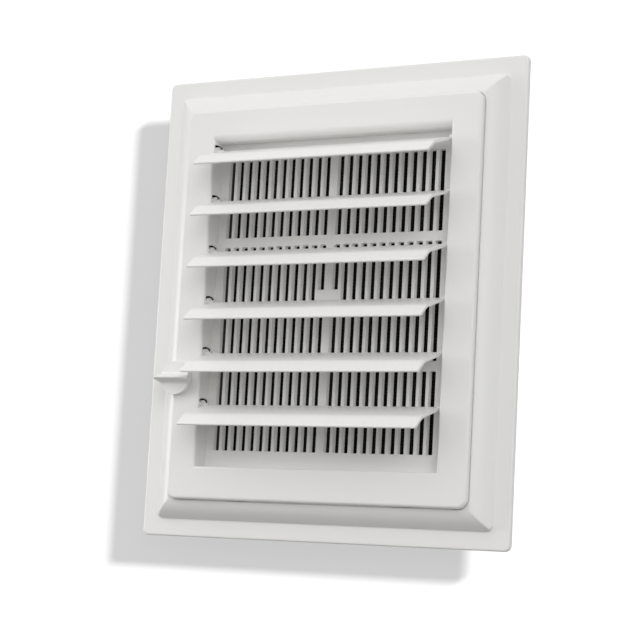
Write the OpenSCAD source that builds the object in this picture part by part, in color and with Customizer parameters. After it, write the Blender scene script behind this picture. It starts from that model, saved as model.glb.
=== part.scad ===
// Wall vent grille with six louvres that open and close together from one knob.
// The wall is at y = 0, the room side is -y, x runs to the right and z runs up.
// The louvres are drawn in their open position.

/* [Wall frame] */
// Width of the outer flange
flange_w = 201; // [190:1:240]
// Height of the outer flange
flange_h = 236; // [225:1:260]
// Thickness of the flange
flange_t = 2.5; // [2.2:0.1:3]
// Corner radius of the flange
flange_corner_r = 3; // [2:0.5:5]
// Radius of the flange's rounded front edge
flange_edge_r = 0.8; // [0.5:0.1:1.5]
// Width of the flat rim outside the bevel
rim_w = 8.8; // [6:0.1:10]
// Distance from the flange's edge to the raised panel
panel_inset = 18.5; // [17:0.5:20]
// Height of the bevel above the flange's front
bevel_rise = 7; // [6:0.1:8]
// Width of the flat land between the bevel's top and the panel
top_land = 0.5; // [0.4:0.1:1]
// Radius of the bevel's convex curve
bevel_r = 14; // [12:1:40]
// Corner radius at the bevel's foot
foot_corner_r = 4; // [3:0.5:6]
// Wall thickness of the frame's shell and collar
frame_wall = 2; // [1.5:0.1:2.2]
// Radius of the wall screw holes
screw_hole_r = 2.2; // [1.6:0.1:2.6]
// Distance of each wall screw from the collar's inner faces
screw_inset = 6.5; // [6:0.1:7]
// Thickness of the tabs with the screw holes
tab_t = 2; // [1.5:0.1:3]

/* [Front panel] */
// Height of the panel's face above the flange's front
panel_proud = 10; // [9.8:0.1:11]
// Corner radius of the panel
panel_corner_r = 5; // [3:0.5:8]
// Radius of the panel's rounded front edge
panel_edge_r = 1.6; // [0.8:0.1:1.8]
// Radius of the window's rounded rim
rim_r = 1.2; // [0.6:0.1:1.6]
// Radius of the rim along the window's top
rim_top_r = 3.6; // [1:0.1:4]
// Thickness of the panel's face
face_t = 1.8; // [1.5:0.1:2]
// Thickness of the panel's skirt and of the recess walls
panel_wall = 2; // [1.6:0.1:2.2]
// Depth of the skirt from the panel's face
skirt_depth = 5.5; // [4.5:0.1:6]
// Gap between the panel's skirt and the frame's collar
panel_clear = 0.15; // [0.1:0.05:0.3]
// Distance from the panel's side to the window's side
side_margin = 15.8; // [15.7:0.1:17]
// Distance from the panel's top to the window's top, the same at the bottom
end_margin = 16.5; // [14:0.5:20]

/* [Slots] */
// Thickness of the slotted plate
grid_t = 3; // [2:0.1:4]
// Width of a slot
slot_w = 3.3; // [2:0.1:3.5]
// Distance from one slot to the next
slot_pitch = 5; // [4.5:0.1:6]
// Width of the middle rib
middle_rib_w = 4.4; // [3:0.1:6]
// Sideways shift of the whole slot pattern
slot_shift = -1.2; // [-2:0.1:0]
// Height of the middle row of slots
middle_row_h = 58.4; // [50:0.1:60]
// Solid height between two rows
row_gap = 4.9; // [3:0.1:6]
// Solid height above the top row, the same below the bottom row
row_end_gap = 8.8; // [5:0.1:10]
// Corner radius of a slot's ends
slot_end_r = 0.4; // [0.2:0.1:1]
// Height of the plain pad in the middle of the plate
pad_h = 13; // [8:0.5:20]

/* [Louvres] */
// Gap between a louvre's end and the recess wall
louvre_end_gap = 1.7; // [1:0.1:3]
// Distance from the window's top edge to the top pivot
first_pivot_drop = 4.8; // [4.5:0.1:6]
// What is left between the bottom edge and one louvre pitch below the lowest pivot
last_pivot_rest = 4.6; // [4.3:0.1:7]
// Distance of the pivots behind the panel's face
pivot_depth = 5.7; // [5:0.1:5.8]
// Length by which a louvre is longer than the pitch
louvre_overlap = 3.8; // [2:0.1:4]
// Length of the lip beyond the bend
louvre_lip = 8.7; // [5:0.1:10]
// Thickness of the sheet
louvre_t = 1.3; // [1:0.1:1.6]
// Slope of the open louvre below the horizontal
louvre_tilt = 17; // [12:1:20]
// Extra slope of the lip
lip_tilt = 22; // [10:1:24]
// Radius of the bend, in the middle of the sheet
bend_r = 8; // [4:1:12]
// Radius of the left hub
hub_r = 3; // [2.6:0.1:3.2]
// Radius of the neck between the left hub and the sheet
neck_r = 1.6; // [1.2:0.1:2]
// Radius of the right stub
stub_r = 2; // [1.5:0.1:2.5]
// Radial gap between a turning part and its bore
run_clear = 0.05; // [0.02:0.01:0.1]
// Height of the arched opening above each left hub
relief_rise = 0.9; // [0.4:0.1:1.1]
// Half width of that opening
relief_half_w = 4.2; // [3.3:0.1:4.2]
// Radius of its arch
relief_r = 12; // [6:0.5:16]

/* [Linkage] */
// Radius of every crank and of the knob's lever
crank_r = 4.5; // [4.2:0.1:4.6]
// Thickness of a crank
crank_t = 1.8; // [1.4:0.1:2]
// Radius of a crank's eye around its pin
crank_eye_r = 2; // [1.8:0.1:2.1]
// Radius of a crank's pin
crank_pin_r = 1.2; // [0.9:0.1:1.3]
// Thickness of the link bar
link_t = 2; // [1.5:0.1:2.1]
// Depth of the link bar, front to back
link_depth = 4; // [3.6:0.1:4.2]
// Radial gap between a linkage pin and its hole or slot
pin_clear = 0.08; // [0.03:0.01:0.1]
// Side of the square ends that carry the cranks and the lever
square_end = 2.6; // [2.2:0.1:2.8]

/* [Knob] */
// Distance of the knob's axis inside the panel's left edge
knob_inset = 3; // [3:0.1:3.6]
// Distance of the knob's axis below the middle between the two lowest pivots
knob_drop = -0.3; // [-1:0.1:1]
// Radius of the knob's disc
knob_r = 8.4; // [7:0.1:9]
// Thickness of the knob's disc
knob_disc_t = 3; // [2:0.1:4]
// Height of the grip above the disc
grip_h = 4.8; // [3:0.1:6]
// Half length of the grip
grip_half_l = 10; // [8.5:0.1:10.5]
// Half width of the grip where it meets the disc
grip_foot = 2.2; // [1.5:0.1:4]
// Half width of the grip's ridge
grip_ridge = 0.4; // [0.2:0.1:1]
// Radius of the hollow curve between the grip and the disc
grip_hollow_r = 1.5; // [1:0.1:5]
// Radius of the knob's shaft
shaft_r = 2.2; // [2:0.1:2.2]
// Radius of the lever's pin
lever_pin_r = 1.3; // [1:0.1:1.4]
// Thickness of the knob's lever
lever_t = 1.8; // [1.4:0.1:1.9]

/* [Insect screen] */
// Thickness of the screen
screen_t = 0.4; // [0.3:0.1:0.6]
// Width of the screen frame's flat ring
ring_w = 5; // [4.6:0.1:5.4]
// Thickness of the screen frame's flat ring
ring_t = 1.5; // [1:0.1:2]
// Length of the collar that enters the wall opening
collar_l = 10; // [6:1:30]
// Wall thickness of that collar
collar_wall = 1.6; // [1.2:0.1:1.7]
// Radius of the stake pins that hold the screen frame
stake_r = 0.9; // [0.7:0.1:1]

/* [Hidden] */
$fn = 64;
// Overlap that keeps cuts and joins free of shared faces
cut = 1;
louvre_count = 6;

// Depths along y
face_y = -flange_t - panel_proud;
face_back_y = face_y + face_t;
skirt_back_y = face_y + skirt_depth;
grid_front_y = -flange_t;
grid_back_y = grid_front_y + grid_t;
bevel_top = flange_t + bevel_rise;
pivot_y = face_y + pivot_depth;
relief_floor = 1.7;
relief_lip = 0.8;
relief_room = 0.5;
relief_end = grid_front_y + 0.7 * grid_t - pivot_y;

// Panel, mouth and recess outlines
panel_w = flange_w - 2 * panel_inset;
panel_h = flange_h - 2 * panel_inset;
mouth_w = panel_w + 2 * panel_clear;
mouth_h = panel_h + 2 * panel_clear;
mouth_r = panel_corner_r + panel_clear;
window_w = panel_w - 2 * side_margin;
window_h = panel_h - 2 * end_margin;
recess_w = window_w + 2 * panel_wall;
recess_h = window_h + 2 * panel_wall;

// Wall screw tabs
screw_x = mouth_w / 2 - screw_inset;
screw_z = mouth_h / 2 - screw_inset;
tab_margin = 5.5;

// Slots on each side of the middle rib, as many as the plate has room for
slot_side_margin = 2.5;
slot_room = window_w / 2 - slot_side_margin - abs(slot_shift) - middle_rib_w / 2 + slot_pitch - slot_w;
slots_per_side = floor(slot_room / slot_pitch);
outer_row_h = (window_h - middle_row_h) / 2 - row_gap - row_end_gap;

// Louvre pivots, and the crank angle with the louvres open
louvre_pitch = (window_h - first_pivot_drop - last_pivot_rest) / louvre_count;
louvre_w = window_w - 2 * louvre_end_gap;
louvre_flat = louvre_pitch + louvre_overlap - louvre_lip;
function pivot_z(i) = window_h / 2 - first_pivot_drop - (i - 1) * louvre_pitch;
crank_start = -30;
crank_pin_y = pivot_y + crank_r * cos(crank_start);
crank_drop = -crank_r * sin(crank_start);
crank_hub_r = 3;
wall_play = 0.5;
crank_x = -recess_w / 2 - wall_play;

// Link bar on the left of the cranks, held by the heads of their pins
link_gap = 0.8;
link_x = crank_x - crank_t - link_gap;
link_end = 3;
head_play = 0.1;
head_t = 0.5;
head_rim = 0.2;

// Knob, between the two lowest pivots
knob_x = -panel_w / 2 + knob_inset;
knob_z = (pivot_z(louvre_count - 1) + pivot_z(louvre_count)) / 2 - knob_drop;
knob_gap = 0.2;
knob_back_y = face_y - knob_gap;
knob_front_y = knob_back_y - knob_disc_t;
ridge_y = knob_front_y - grip_h;
grip_set_in = 0.6;
grip_point_h = 1.6;
grip_blunt_h = 0.6;
grip_blunt_l = 0.8;
grip_slope_l = 3;
boss_r = 3.5;
boss_l = 4.5;
boss_back_y = face_back_y + boss_l;

// Lever behind the panel, and the screw that holds it
lever_y = boss_back_y + knob_gap;
lever_back_y = lever_y + lever_t;
lever_hub_r = 2.8;
lever_pin_x = knob_x + crank_r * cos(crank_start);
lever_pin_z = knob_z - crank_drop;
lever_pin_l = 3.5;
screw_head_r = 2.2;
screw_head_t = 0.9;
screw_core_r = 1;
screw_l = 5;
screw_tip_room = 0.5;
recess_cross_w = 0.5;
recess_cross_t = 0.4;
press_clear = 0.02;

// Fork on the link bar that follows the lever's pin
fork_lead = 0.4;
fork_front_y = crank_pin_y - fork_lead;
fork_t = 2;
fork_prong = 2;
fork_web = 2;
fork_play = 0.2;
fork_left_x = lever_pin_x - lever_pin_r - fork_play / 2;
fork_slot_x = knob_x + crank_r + lever_pin_r + fork_play;
fork_slot_h = 2 * (lever_pin_r + pin_clear);
fork_h = fork_slot_h + 2 * fork_prong;

// Snap hooks on the skirt, and the windows in the collar for their teeth
hook_w = 10;
hook_t = 1.5;
tooth_h = 0.75;
tooth_l = 1.4;
tooth_y = -3.8;
hook_end_y = -1.4;
hook_play = 0.5;
hook_share_x = 0.28;
hook_share_z = 0.31;
hook_x = hook_share_x * panel_w;
hook_z = hook_share_z * panel_h;

// Stakes that hold the insect screen and its frame
stake_head_r = 1.4;
stake_head_t = 0.8;
stake_clear = 0.1;
stake_room = 0.2;
stake_edge = collar_wall + stake_head_r + stake_room;
stake_x = recess_w / 2 - stake_edge;
stake_z = recess_h / 2 - stake_edge;
ring_front_y = grid_back_y + screen_t;
ring_back_y = ring_front_y + ring_t;
screen_edge = 0.6;

// Slab with a flat outline in x and z, from y_back towards the room
module slab(y_back, t) {
    translate([0, y_back, 0]) rotate([90, 0, 0]) linear_extrude(t) children();
}

// Ring of radius r around the origin, made of a rod with radius rod
module torus_y(r, rod) {
    rotate([90, 0, 0]) rotate_extrude() translate([r, 0]) circle(rod);
}

// Rounded rectangle between two depths whose front edge is rounded with radius edge
module soft_slab(w, h, corner, edge, y_front, y_back) {
    slab(y_back, y_back - y_front - edge) round_rect(w, h, corner);
    slab(y_back, y_back - y_front) round_rect(w - 2 * edge, h - 2 * edge, corner - edge);
    for (side = [-1, 1]) {
        translate([0, y_front + edge, side * (h / 2 - edge)]) rod_x(edge, corner - w / 2, w / 2 - corner);
        translate([side * (w / 2 - edge), y_front + edge, 0]) rod_z(edge, corner - h / 2, h / 2 - corner);
    }
    for (sx = [-1, 1], sz = [-1, 1])
        translate([sx * (w / 2 - corner), y_front + edge, sz * (h / 2 - corner)])
            torus_y(corner - edge, edge);
}

// Slab between two depths that is a plain rectangle about the middle
module plate(w, h, y_front, y_back) {
    slab(y_back, y_back - y_front) square([w, h], center = true);
}

// Rod along x from x0 to x1
module rod_x(r, x0, x1) {
    translate([x0, 0, 0]) rotate([0, 90, 0]) cylinder(r = r, h = x1 - x0);
}

// Rod along y from y0 to y1
module rod_y(r, y0, y1) {
    translate([0, y1, 0]) rotate([90, 0, 0]) cylinder(r = r, h = y1 - y0);
}

// Rod along z from z0 to z1
module rod_z(r, z0, z1) {
    translate([0, 0, z0]) cylinder(r = r, h = z1 - z0);
}

// Rectangle about the middle, with round corners
module round_rect(w, h, r) {
    square([w - 2 * r, h], center = true);
    square([w, h - 2 * r], center = true);
    for (sx = [-1, 1], sz = [-1, 1])
        translate([sx * (w / 2 - r), sz * (h / 2 - r)]) circle(r);
}

// Centre of the bevel's arc for an outline of width w, across and up
bevel_run = panel_inset - top_land - rim_w;
// Outline that rounds the bevel's corners, just outside its straight foot
foot_room = 0.05;
foot_w = flange_w - 2 * (rim_w - foot_room);
bevel_chord = norm([bevel_run, bevel_rise]);
arc_back = sqrt(bevel_r * bevel_r - bevel_chord * bevel_chord / 4) / bevel_chord;
function arc_centre(w) = [
    w / 2 - rim_w - bevel_run / 2 - arc_back * bevel_rise,
    flange_t + bevel_rise / 2 - arc_back * bevel_run
];

// Section of the raised frame: from height h0 up, smaller than the outside by wall
module raised_profile(w, wall, h0) {
    h = bevel_top - wall - h0;
    flat = w - 2 * (rim_w + bevel_run);
    translate([-flat / 2, h0]) square([flat, h]);
    for (side = [-1, 1])
        scale([side, 1]) intersection() {
            translate(arc_centre(w)) circle(bevel_r - wall, $fn = 128);
            translate([flat / 2 - cut, h0]) square([bevel_run + 2 * cut, h]);
        }
}

// The raised section run along both directions, which meet in mitred corners
module raised_block(wall, h0) {
    intersection() {
        mirror([0, 1, 0]) linear_extrude(flange_h, center = true)
            raised_profile(flange_w, wall, h0);
        rotate([0, 90, 0]) mirror([0, 1, 0]) linear_extrude(flange_w, center = true)
            raised_profile(flange_h, wall, h0);
    }
}

// Copies in all four corners, mirrored from the upper right one
module each_corner() {
    for (sx = [0, 1], sz = [0, 1])
        mirror([sx, 0, 0]) mirror([0, 0, sz]) children();
}

// Flange and convex bevel that stay on the wall, with four screw tabs
module wall_frame() {
    tab_l = screw_inset + tab_margin + cut;
    color("white") difference() {
        union() {
            soft_slab(flange_w, flange_h, flange_corner_r, flange_edge_r, -flange_t, 0);
            intersection() {
                raised_block(0, 0);
                slab(cut, bevel_top + 2 * cut)
                    round_rect(foot_w, flange_h - flange_w + foot_w, foot_corner_r);
            }
        }
        difference() {
            raised_block(frame_wall, -cut);
            slab(2 * cut, bevel_top + 3 * cut)
                round_rect(mouth_w + 2 * frame_wall, mouth_h + 2 * frame_wall, mouth_r + frame_wall);
        }
        difference() {
            slab(cut, bevel_top + 2 * cut) round_rect(mouth_w, mouth_h, mouth_r);
            each_corner() translate([screw_x - tab_margin, -tab_t, screw_z - tab_margin])
                cube([tab_l, tab_t, tab_l]);
        }
        each_corner() {
            translate([screw_x, 0, screw_z]) rod_y(screw_hole_r, -tab_t - cut, cut);
            hook_windows();
        }
    }
}

// Openings in the collar for one tooth on a short side and one on a long side
module hook_windows() {
    w = hook_w + 2 * hook_play;
    l = tooth_l + 2 * hook_play;
    t = frame_wall + 2 * cut;
    translate([hook_x - w / 2, tooth_y - hook_play, mouth_h / 2 - cut]) cube([w, l, t]);
    translate([mouth_w / 2 - cut, tooth_y - hook_play, hook_z - w / 2]) cube([t, l, w]);
}

// Snap hooks behind the skirt: one on a short side and one on a long side
module hooks() {
    arm_y = skirt_back_y - cut;
    arm_l = hook_end_y - arm_y;
    reach = hook_t + tooth_h;
    translate([hook_x - hook_w / 2, 0, panel_h / 2 - hook_t]) {
        translate([0, arm_y, 0]) cube([hook_w, arm_l, hook_t]);
        translate([0, tooth_y, 0]) cube([hook_w, tooth_l, reach]);
    }
    translate([panel_w / 2 - hook_t, 0, hook_z - hook_w / 2]) {
        translate([0, arm_y, 0]) cube([hook_t, arm_l, hook_w]);
        translate([0, tooth_y, 0]) cube([reach, tooth_l, hook_w]);
    }
}

// One slot with rounded corners, between two heights
module slot(x, z0, z1) {
    translate([x, (z0 + z1) / 2]) round_rect(slot_w, z1 - z0, slot_end_r);
}

// Three rows of slots in two groups. The plain pad stops the two middle slots
module slots() {
    row_top = middle_row_h / 2;
    outer_z = row_top + row_gap;
    for (side = [-1, 1], k = [0 : slots_per_side - 1], up = [-1, 1]) {
        x = slot_shift + side * ((middle_rib_w + slot_w) / 2 + k * slot_pitch);
        scale([1, up]) slot(x, outer_z, outer_z + outer_row_h);
        scale([1, up]) slot(x, k == 0 ? pad_h / 2 : -row_top, row_top);
    }
}

// Left bore of a louvre, with the arched opening above it and the pocket that thins
// the wall behind the opening, and the right bore
module pivot_bores(i) {
    left = -recess_w / 2 - cut;
    right = -window_w / 2 + cut;
    arch_z = hub_r + relief_rise - relief_r;
    pocket = [
        -window_w / 2 - relief_lip - left,
        relief_half_w + relief_end,
        hub_r + relief_rise + relief_room - relief_floor
    ];
    translate([0, pivot_y, pivot_z(i)]) {
        rod_x(hub_r + run_clear, left, right);
        intersection() {
            translate([0, 0, arch_z]) rod_x(relief_r, left, right);
            translate([left, -relief_half_w, relief_floor])
                cube([right - left, 2 * relief_half_w, hub_r + 2 * relief_rise]);
        }
        translate([left, -relief_half_w, relief_floor]) cube(pocket);
        rod_x(stub_r + run_clear, window_w / 2 - cut, recess_w / 2 + cut);
    }
}

// What one rounded edge takes away beside an opening that ends at u = edge
module rim_edge(edge, r) {
    difference() {
        translate([edge - cut, -cut]) square(cut + r);
        translate([edge + r, r]) circle(r);
    }
}

// Section across an opening of width w whose two edges are rounded
module rim_section(w, low_r, high_r) {
    translate([-w / 2, -cut]) square([w, cut + rim_top_r]);
    rim_edge(w / 2, high_r);
    mirror([1, 0]) rim_edge(w / 2, low_r);
}

// What is cut away to round the window's rim, with a softer edge along the top
module window_rim() {
    translate([0, face_y, 0]) intersection() {
        linear_extrude(panel_h, center = true) rim_section(window_w, rim_r, rim_r);
        rotate([0, -90, 0]) linear_extrude(panel_w, center = true)
            rim_section(window_h, rim_r, rim_top_r);
    }
}

// Copies at the six stakes: the corners of the plate and the middle of its sides
module each_stake() {
    for (sx = [-1, 1], sz = [-1, 0, 1]) translate([sx * stake_x, 0, sz * stake_z]) children();
}

// Raised panel with its recess, the slotted plate, the bearings, hooks and stakes
module front_panel() {
    inner = 2 * panel_wall;
    color("white") difference() {
        union() {
            difference() {
                soft_slab(panel_w, panel_h, panel_corner_r, panel_edge_r, face_y, skirt_back_y);
                slab(skirt_back_y + cut, skirt_depth + cut - face_t)
                    round_rect(panel_w - inner, panel_h - inner, panel_corner_r - panel_wall);
            }
            plate(recess_w, recess_h, face_y, grid_back_y);
            intersection() {
                translate([knob_x, 0, knob_z]) rod_y(boss_r, face_back_y - face_t / 2, boss_back_y);
                plate(panel_w, panel_h, face_y, boss_back_y);
            }
            each_corner() hooks();
            each_stake() {
                rod_y(stake_r, grid_back_y - cut, ring_back_y);
                rod_y(stake_head_r, ring_back_y, ring_back_y + stake_head_t);
            }
        }
        plate(window_w, window_h, face_y - cut, grid_front_y);
        window_rim();
        slab(grid_back_y + cut, grid_t + 2 * cut) slots();
        for (i = [1 : louvre_count]) pivot_bores(i);
        translate([knob_x, 0, knob_z]) rod_y(shaft_r + run_clear, face_y - cut, boss_back_y + cut);
    }
}

// Section of an open louvre in y and z, with the pivot at the origin
module louvre_profile() {
    along = [-cos(louvre_tilt), -sin(louvre_tilt)];
    down = [-cos(louvre_tilt + lip_tilt), -sin(louvre_tilt + lip_tilt)];
    half = louvre_t / 2;
    over = [along[1], -along[0]];
    lip_over = [down[1], -down[0]];
    bend_l = bend_r * tan(lip_tilt / 2);
    bend = louvre_flat * along;
    bend_start = bend - bend_l * along;
    bend_end = bend + bend_l * down;
    tip = bend + (louvre_lip - half) * down;
    centre = bend_start - bend_r * over;
    polygon([half * over, bend_start + half * over, bend_start - half * over, -half * over]);
    polygon([bend_end + half * lip_over, tip + half * lip_over, tip - half * lip_over, bend_end - half * lip_over]);
    intersection() {
        translate(centre) difference() {
            circle(bend_r + half);
            circle(bend_r - half);
        }
        polygon([centre, centre + 2 * bend_r * over, centre + 2 * bend_r * lip_over]);
    }
    circle(half);
    translate(tip) circle(half);
}

// Louvre with its bent lip, its left hub with a neck and a square end, and its right stub
module louvre(i) {
    color("white") translate([0, pivot_y, pivot_z(i)]) {
        translate([-louvre_w / 2, 0, 0]) rotate([90, 0, 90])
            linear_extrude(louvre_w) louvre_profile();
        rod_x(hub_r, crank_x, -window_w / 2);
        rod_x(neck_r, -window_w / 2 - cut, cut - louvre_w / 2);
        rod_x(stub_r, louvre_w / 2 - cut, recess_w / 2);
        rotate([crank_start, 0, 0])
            translate([crank_x - crank_t, -square_end / 2, -square_end / 2])
                cube([crank_t + cut, square_end, square_end]);
    }
}

// Crank on a louvre's square end, with a headed pin for the link bar
module crank(i) {
    hole = square_end + 2 * press_clear;
    pin_end = -link_gap - link_t - head_play;
    color("dimgray") translate([crank_x - crank_t, pivot_y, pivot_z(i)])
        rotate([crank_start, 0, 0]) difference() {
            union() {
                rod_x(crank_hub_r, 0, crank_t);
                translate([0, 0, -crank_eye_r]) cube([crank_t, crank_r, 2 * crank_eye_r]);
                translate([0, crank_r, 0]) {
                    rod_x(crank_eye_r, 0, crank_t);
                    rod_x(crank_pin_r, pin_end, crank_t);
                    rod_x(crank_pin_r + head_rim, pin_end - head_t, pin_end);
                }
            }
            translate([-cut, -hole / 2, -hole / 2]) cube([crank_t + 2 * cut, hole, hole]);
        }
}

// Bar that joins the six crank pins, with a fork for the lever's pin
module link_bar() {
    low_z = pivot_z(louvre_count) - crank_drop - link_end;
    bar_h = (louvre_count - 1) * louvre_pitch + 2 * link_end;
    back_y = crank_pin_y - link_depth / 2;
    fork_end_x = fork_slot_x + fork_web;
    color("dimgray") difference() {
        union() {
            translate([link_x - link_t, back_y, low_z]) cube([link_t, link_depth, bar_h]);
            translate([fork_left_x, fork_front_y, lever_pin_z - fork_h / 2])
                cube([fork_end_x - fork_left_x, fork_t, fork_h]);
        }
        for (i = [1 : louvre_count])
            translate([0, crank_pin_y, pivot_z(i) - crank_drop])
                rod_x(crank_pin_r + pin_clear, link_x - link_t - cut, link_x + cut);
        translate([link_x - link_t - cut, back_y - cut, lever_pin_z - fork_h / 2])
            cube([link_t + 2 * cut, fork_front_y - back_y + cut, fork_h]);
        translate([fork_left_x - cut, fork_front_y - cut, lever_pin_z - fork_slot_h / 2])
            cube([fork_slot_x - fork_left_x + cut, link_depth + 2 * cut, fork_slot_h]);
    }
}

// Side view of the grip in x and y: pointed on the left, sloped on the right
module grip_side() {
    foot = knob_r - grip_set_in;
    point_y = ridge_y + grip_point_h;
    polygon([
        [-foot, knob_front_y + cut], [-grip_half_l, point_y], [-grip_half_l, ridge_y + grip_blunt_h],
        [grip_blunt_l - grip_half_l, ridge_y], [grip_half_l - grip_slope_l, ridge_y],
        [grip_half_l, point_y], [foot, knob_front_y + cut]
    ]);
}

// End view of the grip in z and y
module grip_end() {
    polygon([
        [-grip_foot, knob_front_y + cut], [-grip_foot, knob_front_y], [-grip_ridge, ridge_y],
        [grip_ridge, ridge_y], [grip_foot, knob_front_y], [grip_foot, knob_front_y + cut]
    ]);
}

// Section of the disc in z and y, which rises in hollow curves to the grip's flanks
module disc_section() {
    slope = atan2(grip_h, grip_foot - grip_ridge);
    reach = grip_hollow_r * tan(slope / 2);
    foot = grip_foot + reach;
    top = grip_foot - reach * cos(slope);
    top_y = knob_front_y - reach * sin(slope);
    translate([-2 * knob_r, knob_front_y]) square([4 * knob_r, knob_disc_t + cut]);
    difference() {
        polygon([
            [-foot, knob_front_y + cut], [-foot, knob_front_y], [-top, top_y],
            [top, top_y], [foot, knob_front_y], [foot, knob_front_y + cut]
        ]);
        for (side = [-1, 1])
            translate([side * foot, knob_front_y - grip_hollow_r]) circle(grip_hollow_r);
    }
}

// Turning knob: disc, grip, shaft and square end
module knob() {
    color("white") translate([knob_x, 0, knob_z]) difference() {
        union() {
            intersection() {
                rod_y(knob_r, ridge_y, knob_back_y);
                rotate([0, -90, 0]) linear_extrude(4 * knob_r, center = true) disc_section();
            }
            intersection() {
                linear_extrude(2 * knob_r, center = true) grip_side();
                rotate([0, -90, 0]) linear_extrude(4 * knob_r, center = true) grip_end();
            }
            rod_y(shaft_r, knob_back_y - cut, lever_y);
            rotate([0, -crank_start, 0])
                translate([-square_end / 2, lever_y - cut, -square_end / 2])
                    cube([square_end, lever_t + cut, square_end]);
        }
        rod_y(screw_core_r + press_clear, lever_back_y - screw_l - screw_tip_room, lever_back_y + cut);
    }
}

// Lever behind the panel that carries the knob's eccentric pin
module knob_lever() {
    hole = square_end + 2 * press_clear;
    color("dimgray") translate([knob_x, lever_y, knob_z]) rotate([0, -crank_start, 0])
        difference() {
            union() {
                rod_y(lever_hub_r, 0, lever_t);
                translate([0, 0, -crank_eye_r]) cube([crank_r, lever_t, 2 * crank_eye_r]);
                translate([crank_r, 0, 0]) {
                    rod_y(crank_eye_r, 0, lever_t);
                    rod_y(lever_pin_r, 0, lever_t + lever_pin_l);
                }
            }
            translate([-hole / 2, -cut, -hole / 2]) cube([hole, lever_t + 2 * cut, hole]);
        }
}

// Screw that keeps the lever on the knob's square end
module knob_screw() {
    cross_y = screw_head_t - recess_cross_t;
    color("silver") translate([knob_x, lever_back_y, knob_z]) difference() {
        union() {
            rod_y(screw_head_r, 0, screw_head_t);
            rod_y(screw_core_r, -screw_l, screw_head_t / 2);
        }
        for (turn = [0, 90])
            rotate([0, turn, 0]) translate([-screw_head_r, cross_y, -recess_cross_w / 2])
                cube([2 * screw_head_r, cut, recess_cross_w]);
    }
}

// Fine screen behind the slots, drawn as one sheet
module insect_screen() {
    edge = 2 * screen_edge;
    color("dimgray") difference() {
        plate(recess_w - edge, recess_h - edge, grid_back_y, ring_front_y);
        each_stake() rod_y(stake_r + stake_clear, grid_back_y - cut, ring_front_y + cut);
    }
}

// Ring that clamps the screen, with the collar that enters the wall opening
module screen_frame() {
    collar_back_y = ring_back_y + collar_l;
    collar = 2 * collar_wall;
    color("dimgray") difference() {
        plate(recess_w, recess_h, ring_front_y, collar_back_y);
        plate(recess_w - collar, recess_h - collar, ring_back_y, collar_back_y + cut);
        plate(recess_w - 2 * ring_w, recess_h - 2 * ring_w, ring_front_y - cut, ring_back_y + cut);
        each_stake() rod_y(stake_r + stake_clear, ring_front_y - cut, ring_back_y + cut);
    }
}

wall_frame();
front_panel();
louvre(1);  // louvre_1
louvre(2);  // louvre_2
louvre(3);  // louvre_3
louvre(4);  // louvre_4
louvre(5);  // louvre_5
louvre(6);  // louvre_6
crank(1);  // crank_1
crank(2);  // crank_2
crank(3);  // crank_3
crank(4);  // crank_4
crank(5);  // crank_5
crank(6);  // crank_6
link_bar();
knob();
knob_lever();
knob_screw();
insect_screen();
screen_frame();
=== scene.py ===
import math
import bpy
from mathutils import Matrix, Vector


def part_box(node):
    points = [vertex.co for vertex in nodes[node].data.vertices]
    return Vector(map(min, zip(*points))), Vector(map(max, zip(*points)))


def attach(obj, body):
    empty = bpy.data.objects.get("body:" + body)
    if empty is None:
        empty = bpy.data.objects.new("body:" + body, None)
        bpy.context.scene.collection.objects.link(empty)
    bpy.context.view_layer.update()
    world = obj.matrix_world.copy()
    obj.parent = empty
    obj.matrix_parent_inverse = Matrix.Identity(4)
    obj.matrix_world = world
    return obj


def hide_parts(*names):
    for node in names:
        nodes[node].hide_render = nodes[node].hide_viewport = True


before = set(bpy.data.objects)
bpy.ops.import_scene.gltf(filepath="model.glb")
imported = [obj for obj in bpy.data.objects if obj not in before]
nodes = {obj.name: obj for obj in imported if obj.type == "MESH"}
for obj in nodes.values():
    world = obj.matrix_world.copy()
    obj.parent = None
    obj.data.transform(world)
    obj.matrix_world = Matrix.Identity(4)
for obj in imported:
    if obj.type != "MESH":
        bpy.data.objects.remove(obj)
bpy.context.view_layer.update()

MM = 0.001

# Camera, from the straight edges of the flange, the panel and the window in the photo
CAMERA_AT = Vector((421.5, -804.8, -127.1)) * MM
CAMERA_RIGHT = Vector((0.88514, 0.462255, 0.053365))
CAMERA_UP = Vector((0.013039, -0.139277, 0.990168))
FOCAL_PX = 1852.8
FRAME_PX = 640
SENSOR_MM = 36
CLIP_START = 0.01

# The wall stands behind the grille, so that its shadow falls beside it as in the photo
WALL_Y = 16 * MM
WALL_SIZE = 3.0
FLOOR_Z = -0.34
# The dark opening is painted shade, a near-black sheet that stands for the unlit duct: it shows through
# the slots and above the louvres' hubs
OPENING = (-84 * MM, 64 * MM, -88 * MM, 92 * MM)
OPENING_Y = 13.2 * MM
WALL_PAINT = (0.1, 0.1, 0.1)
WALL_GLOW = 0.55
DUCT_SHADE_PAINT = (0.01, 0.01, 0.01)
FLOOR_PAINT = (0.85, 0.85, 0.85)

# The sun lights the wall alone, and casts the grille's shadow on it
SUN_TRAVEL = Vector((-29, 16, -14.5))
SUN_FROM = -SUN_TRAVEL * 40 * MM
SUN_SPREAD = math.radians(6.5)
SUN_STRENGTH = 34.0

# Lobes of the world's light: direction, sharpness and strength
WORLD_LOBES = [
    ((1, 0, 0), 1, 0.42),
    ((0.6, -0.73, 0.36), 16, 3.7),
    ((-0.6, -0.5, 0.65), 8, 2.3),
    ((0, -0.7, 0.7), 8, 1.25),
    ((0, -0.5, -0.87), 8, 0.8),
    ((0, 1, 0), 1, 0.6),
]
# Soft boxes: name, place in metres, diameter, watts
SOFT_BOXES = [
    ("fill", (0.9, -1.5, 0.3), 0.9, 2.6),
    ("edge", (-1.5, -0.55, 0.1), 0.5, 6.0),
]

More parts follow.
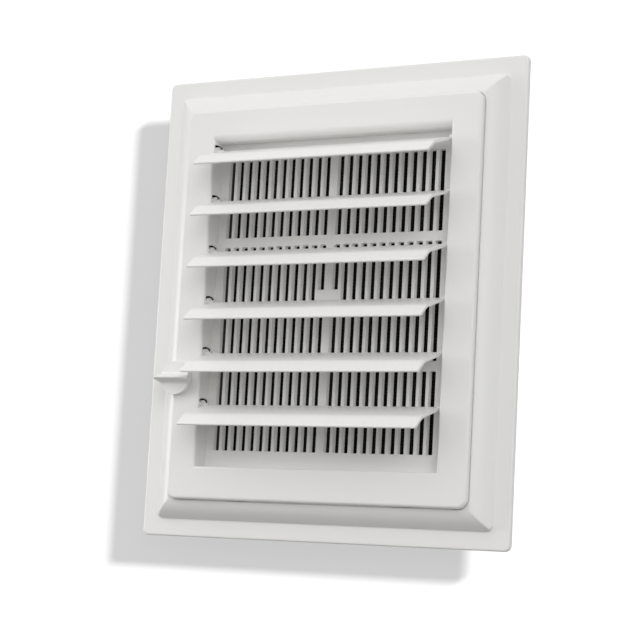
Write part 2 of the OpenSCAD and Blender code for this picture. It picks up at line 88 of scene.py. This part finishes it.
# Woven screen and its sealed border, with holes for the stakes
SCREEN_BORDER = 4.2 * MM
WIRE_PITCH = 1.8 * MM
WIRE_R = 0.1 * MM
WIRE_SIDES = 4
WIRE_HOLD = 0.5 * MM
STAKE_HOLE_R = 1.0 * MM
STAKE_HOLE_SIDES = 16
STAKE_AT = (65 * MM, 81.8 * MM)

# Colours of the materials. Where there are two, the colour wanders between them
WHITE = (0.86, 0.853, 0.838)
DARK = (0.045, 0.045, 0.047)
ZINC = ((0.56, 0.56, 0.57), (0.66, 0.66, 0.68))
FIBRE = ((0.010, 0.010, 0.010), (0.022, 0.022, 0.024))

# Moulded plastic: drift of its colour, spread of its roughness, and its grain
PLASTIC_IOR = 1.5
DRIFT = 0.02
DRIFT_SCALE = 22.0
SMOOTHER = 0.05
ROUGHER = 0.06
GLOSS_SCALE = 160.0
GRAIN_SCALE = 2400.0
GRAIN_DEPTH = 0.04 * MM
EDGE_SAMPLES = 8

scene = bpy.context.scene


def new_object(name, data):
    obj = bpy.data.objects.new(name, data)
    scene.collection.objects.link(obj)
    return obj


def make_camera():
    data = bpy.data.cameras.new("camera")
    data.sensor_width = SENSOR_MM
    data.lens = FOCAL_PX * SENSOR_MM / FRAME_PX
    data.clip_start = CLIP_START
    obj = new_object("camera", data)
    back = CAMERA_RIGHT.cross(CAMERA_UP)
    turn = Matrix((CAMERA_RIGHT, CAMERA_UP, back)).transposed()
    obj.matrix_world = Matrix.Translation(CAMERA_AT) @ turn.to_4x4()
    scene.camera = obj


# Node helpers
def node_of(tree, kind, **sockets):
    node = tree.nodes.new(kind)
    for name, value in sockets.items():
        node.inputs[name.replace("_", " ")].default_value = value
    return node


def math_node(tree, operation, *values):
    node = tree.nodes.new("ShaderNodeMath")
    node.operation = operation
    for socket, value in zip(node.inputs, values):
        if isinstance(value, (int, float)):
            socket.default_value = value
        else:
            tree.links.new(value, socket)
    return node.outputs[0]


def empty_material(name):
    mat = bpy.data.materials.new(name)
    mat.use_nodes = True
    tree = mat.node_tree
    tree.nodes.clear()
    return mat, tree


def shader_out(tree, shader, kind="ShaderNodeOutputMaterial"):
    out = tree.nodes.new(kind)
    tree.links.new(shader, out.inputs["Surface"])


def noise(tree, coords, scale, detail=3.0):
    tex = node_of(tree, "ShaderNodeTexNoise", Scale=scale, Detail=detail)
    tree.links.new(coords.outputs["Object"], tex.inputs["Vector"])
    return tex.outputs["Fac"]


def spread(tree, value, low, high):
    ramp = tree.nodes.new("ShaderNodeMapRange")
    ramp.inputs["To Min"].default_value = low
    ramp.inputs["To Max"].default_value = high
    tree.links.new(value, ramp.inputs["Value"])
    return ramp.outputs["Result"]


def tint(tree, value, low, high):
    mix = tree.nodes.new("ShaderNodeMix")
    mix.data_type = "RGBA"
    mix.inputs["A"].default_value = (*low, 1)
    mix.inputs["B"].default_value = (*high, 1)
    tree.links.new(value, mix.inputs["Factor"])
    return mix.outputs["Result"]


def seen_directly(tree):
    """One for camera, mirror and glass rays, nought for the rays that light things."""
    path = tree.nodes.new("ShaderNodeLightPath")
    either = math_node(tree, "MAXIMUM", path.outputs["Is Camera Ray"], path.outputs["Is Glossy Ray"])
    return math_node(tree, "MAXIMUM", either, path.outputs["Is Transmission Ray"])


# Materials
def uneven_material(name, colors, color_scale, gloss, gloss_scale, **sockets):
    """Material whose colour and roughness wander between two values each."""
    mat, tree = empty_material(name)
    coords = tree.nodes.new("ShaderNodeTexCoord")
    shader = node_of(tree, "ShaderNodeBsdfPrincipled", **sockets)
    color = tint(tree, noise(tree, coords, color_scale), *colors)
    roughness = spread(tree, noise(tree, coords, gloss_scale), *gloss)
    tree.links.new(color, shader.inputs["Base Color"])
    tree.links.new(roughness, shader.inputs["Roughness"])
    shader_out(tree, shader.outputs["BSDF"])
    return mat, coords, shader


def add_grain(tree, coords, shader, strength, depth, scale, detail):
    """Fine grain that tilts the shader's normal."""
    bump = node_of(tree, "ShaderNodeBump", Strength=strength, Distance=depth)
    tree.links.new(noise(tree, coords, scale, detail), bump.inputs["Height"])
    tree.links.new(bump.outputs["Normal"], shader.inputs["Normal"])
    return bump


def plastic(name, color, roughness, grain, edge):
    """Moulded plastic with softened edges; edge is their radius."""
    deep, pale = ([c * share for c in color] for share in (1 - DRIFT, 1 + DRIFT))
    gloss = (roughness - SMOOTHER, roughness + ROUGHER)
    mat, coords, shader = uneven_material(name, (deep, pale), DRIFT_SCALE, gloss, GLOSS_SCALE,
                                          IOR=PLASTIC_IOR)
    tree = mat.node_tree
    bump = add_grain(tree, coords, shader, grain, GRAIN_DEPTH, GRAIN_SCALE, 2.0)
    rounded = node_of(tree, "ShaderNodeBevel", Radius=edge)
    rounded.samples = EDGE_SAMPLES
    tree.links.new(rounded.outputs["Normal"], bump.inputs["Normal"])
    return mat


def zinc_steel():
    mat, coords, shader = uneven_material("zinc_steel", ZINC, 500.0, (0.25, 0.5), 900.0, Metallic=1.0)
    add_grain(mat.node_tree, coords, shader, 0.4, 0.03 * MM, 3000.0, 3.0)
    return mat


def screen_fibre():
    return uneven_material("screen_fibre", FIBRE, 700.0, (0.5, 0.75), 1500.0, IOR=PLASTIC_IOR)[0]


def stage_material(name, color, glow=0.0):
    """Matt paint that is seen from its front only, so that other views can look past it."""
    mat, tree = empty_material(name)
    links = tree.links
    paint = node_of(tree, "ShaderNodeBsdfDiffuse")
    paint.inputs["Color"].default_value = (*color, 1)
    light = tree.nodes.new("ShaderNodeEmission")
    links.new(math_node(tree, "MULTIPLY", seen_directly(tree), glow), light.inputs["Strength"])
    both = tree.nodes.new("ShaderNodeAddShader")
    links.new(paint.outputs["BSDF"], both.inputs[0])
    links.new(light.outputs["Emission"], both.inputs[1])
    clear = tree.nodes.new("ShaderNodeBsdfTransparent")
    side = tree.nodes.new("ShaderNodeNewGeometry")
    mix = tree.nodes.new("ShaderNodeMixShader")
    links.new(side.outputs["Backfacing"], mix.inputs["Fac"])
    links.new(both.outputs["Shader"], mix.inputs[1])
    links.new(clear.outputs["BSDF"], mix.inputs[2])
    shader_out(tree, mix.outputs["Shader"])
    return mat


# Insect screen: woven wires in a sealed border
def wire(along, across, start, end, crossings, side, y):
    """Points of a wire that passes over and under its crossings by turns."""
    points = [(start, across, y)]
    for k, at in enumerate(crossings):
        points.append((at, across, y + side * (1 if k % 2 else -1) * WIRE_R))
    points.append((end, across, y))
    if along == "x":
        return [Vector((a, h, b)) for a, b, h in points]
    return [Vector((b, h, a)) for a, b, h in points]


def tube(verts, faces, points, out):
    """Adds a thin closed tube along the points; out is a direction across all of it."""
    first = len(verts)
    turn = 2 * math.pi / WIRE_SIDES
    ahead = (points[-1] - points[0]).normalized()
    aside = ahead.cross(out)
    ring = [(out * math.cos(turn * k) + aside * math.sin(turn * k)) * WIRE_R for k in range(WIRE_SIDES)]
    for p in points:
        verts.extend(p + r for r in ring)
    for i in range(len(points) - 1):
        a = first + i * WIRE_SIDES
        for k in range(WIRE_SIDES):
            n = (k + 1) % WIRE_SIDES
            faces.append((a + k, a + n, a + WIRE_SIDES + n, a + WIRE_SIDES + k))
    last = first + (len(points) - 1) * WIRE_SIDES
    faces.append(tuple(first + k for k in reversed(range(WIRE_SIDES))))
    faces.append(tuple(last + k for k in range(WIRE_SIDES)))


def evenly(reach):
    """Places of the wires from one side to the other, with one in the middle."""
    count = int(reach / WIRE_PITCH)
    return [k * WIRE_PITCH for k in range(-count, count + 1)]


def woven_screen(low, high):
    y = (low.y + high.y) / 2
    reach_x = high.x - SCREEN_BORDER
    reach_z = high.z - SCREEN_BORDER
    xs, zs = evenly(reach_x), evenly(reach_z)
    end_x, end_z = reach_x + WIRE_HOLD, reach_z + WIRE_HOLD
    out = Vector((0, 1, 0))
    verts, faces = [], []
    for i, z in enumerate(zs):
        tube(verts, faces, wire("x", z, -end_x, end_x, xs, 1 if i % 2 else -1, y), out)
    for i, x in enumerate(xs):
        tube(verts, faces, wire("z", x, -end_z, end_z, zs, -1 if i % 2 else 1, y), out)
    mesh = bpy.data.meshes.new("screen_weave")
    mesh.from_pydata(verts, [], faces)
    return new_object("screen_weave", mesh)


def flat_loop(curve, points):
    """Adds a closed outline to the curve."""
    spline = curve.splines.new("POLY")
    spline.points.add(len(points) - 1)
    for point, (x, z) in zip(spline.points, points):
        point.co = (x, z, 0, 1)
    spline.use_cyclic_u = True


def screen_border(low, high):
    curve = bpy.data.curves.new("screen_border", "CURVE")
    curve.dimensions = "2D"
    curve.fill_mode = "BOTH"
    curve.extrude = (high.y - low.y) / 2
    for inset in (0, SCREEN_BORDER):
        w, h = high.x - inset, high.z - inset
        flat_loop(curve, [(-w, -h), (w, -h), (w, h), (-w, h)])
    turns = [2 * math.pi * k / STAKE_HOLE_SIDES for k in range(STAKE_HOLE_SIDES)]
    hole = [(STAKE_HOLE_R * math.cos(turn), STAKE_HOLE_R * math.sin(turn)) for turn in turns]
    for x in (-STAKE_AT[0], STAKE_AT[0]):
        for z in (-STAKE_AT[1], 0, STAKE_AT[1]):
            flat_loop(curve, [(x + dx, z + dz) for dx, dz in hole])
    obj = new_object("screen_border", curve)
    upright_turn = Matrix.Rotation(math.pi / 2, 4, "X")
    obj.matrix_world = Matrix.Translation((0, (low.y + high.y) / 2, 0)) @ upright_turn
    return obj


def make_screen(fibre):
    low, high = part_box("insect_screen")
    for piece in (woven_screen(low, high), screen_border(low, high)):
        piece.data.materials.append(fibre)
        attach(piece, "housing")
        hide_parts("insect_screen")


# Stage: wall, the dark opening of painted shade that shows through the slots, and the floor
def quad(name, corners, material):
    mesh = bpy.data.meshes.new(name)
    mesh.from_pydata(corners, [], [(0, 1, 2, 3)])
    mesh.materials.append(material)
    obj = new_object(name, mesh)
    obj.visible_diffuse = False
    obj.visible_shadow = False
    return obj


def upright(x0, x1, z0, z1, y):
    return [(x0, y, z0), (x1, y, z0), (x1, y, z1), (x0, y, z1)]


def make_stage():
    s = WALL_SIZE
    wall = quad("stage_wall", upright(-s, s, FLOOR_Z, s, WALL_Y),
                stage_material("wall_paint", WALL_PAINT, WALL_GLOW))
    # The opening is a near-black sheet of painted shade, standing in for the unlit duct behind the
    # grille
    quad("stage_opening", upright(*OPENING, OPENING_Y),
         stage_material("opening_painted_shade", DUCT_SHADE_PAINT))
    quad("stage_floor", [(-s, -s, FLOOR_Z), (s, -s, FLOOR_Z), (s, s, FLOOR_Z), (-s, s, FLOOR_Z)],
         stage_material("floor_paint", FLOOR_PAINT))
    return wall


# Light
def make_world():
    world = bpy.data.worlds.new("studio")
    scene.world = world
    world.use_nodes = True
    tree = world.node_tree
    tree.nodes.clear()
    links = tree.links
    coords = tree.nodes.new("ShaderNodeTexCoord")
    total = 0.0
    for direction, sharpness, strength in WORLD_LOBES:
        dot = tree.nodes.new("ShaderNodeVectorMath")
        dot.operation = "DOT_PRODUCT"
        links.new(coords.outputs["Generated"], dot.inputs[0])
        dot.inputs[1].default_value = Vector(direction).normalized()
        facing = math_node(tree, "MAXIMUM", dot.outputs["Value"], 0.0)
        lobe = math_node(tree, "MULTIPLY", math_node(tree, "POWER", facing, sharpness), strength)
        total = math_node(tree, "ADD", lobe, total)
    soft = tree.nodes.new("ShaderNodeBackground")
    links.new(total, soft.inputs["Strength"])
    shown = node_of(tree, "ShaderNodeBackground", Strength=1.0)
    shown.inputs["Color"].default_value = (1, 1, 1, 1)
    mix = tree.nodes.new("ShaderNodeMixShader")
    links.new(seen_directly(tree), mix.inputs["Fac"])
    links.new(soft.outputs["Background"], mix.inputs[1])
    links.new(shown.outputs["Background"], mix.inputs[2])
    shader_out(tree, mix.outputs["Shader"], "ShaderNodeOutputWorld")


def add_light(name, kind, energy, at, travel):
    """Light at a place, shining along its direction of travel."""
    data = bpy.data.lights.new(name, kind)
    data.energy = energy
    obj = new_object(name, data)
    obj.location = at
    obj.rotation_euler = Vector(travel).to_track_quat("-Z", "Y").to_euler()
    return obj


def make_lights(wall):
    for name, at, size, watts in SOFT_BOXES:
        box = add_light(name, "AREA", watts, at, -Vector(at))
        box.data.shape = "DISK"
        box.data.size = size
    sun = add_light("wall_sun", "SUN", SUN_STRENGTH, SUN_FROM, SUN_TRAVEL)
    sun.data.angle = SUN_SPREAD
    only_wall = bpy.data.collections.new("wall_only")
    only_wall.objects.link(wall)
    sun.light_linking.receiver_collection = only_wall
    blockers = bpy.data.collections.new("shadow_casters")
    cranks = [name for name in nodes if name.startswith("crank")]
    for name in ["wall_frame", "front_panel", "link_bar", "screen_frame"] + cranks:
        blockers.objects.link(nodes[name])
    sun.light_linking.blocker_collection = blockers


def dress_nodes(fibre):
    panel = plastic("white_plastic", WHITE, 0.33, 0.25, 0.3 * MM)
    soft_edged = plastic("white_plastic_frame", WHITE, 0.33, 0.25, 1.2 * MM)
    dark = plastic("dark_plastic", DARK, 0.5, 0.4, 0.25 * MM)
    look = {
        "wall_frame": soft_edged, "knob_screw": zinc_steel(), "insect_screen": fibre,
        "screen_frame": dark, "link_bar": dark, "knob_lever": dark,
    }
    for name, obj in nodes.items():
        mat = dark if name.startswith("crank") else look.get(name, panel)
        for place in obj.material_slots:
            place.material = mat


make_camera()
make_world()
make_lights(make_stage())
fibre = screen_fibre()
make_screen(fibre)
dress_nodes(fibre)
scene.view_settings.view_transform = "Standard"
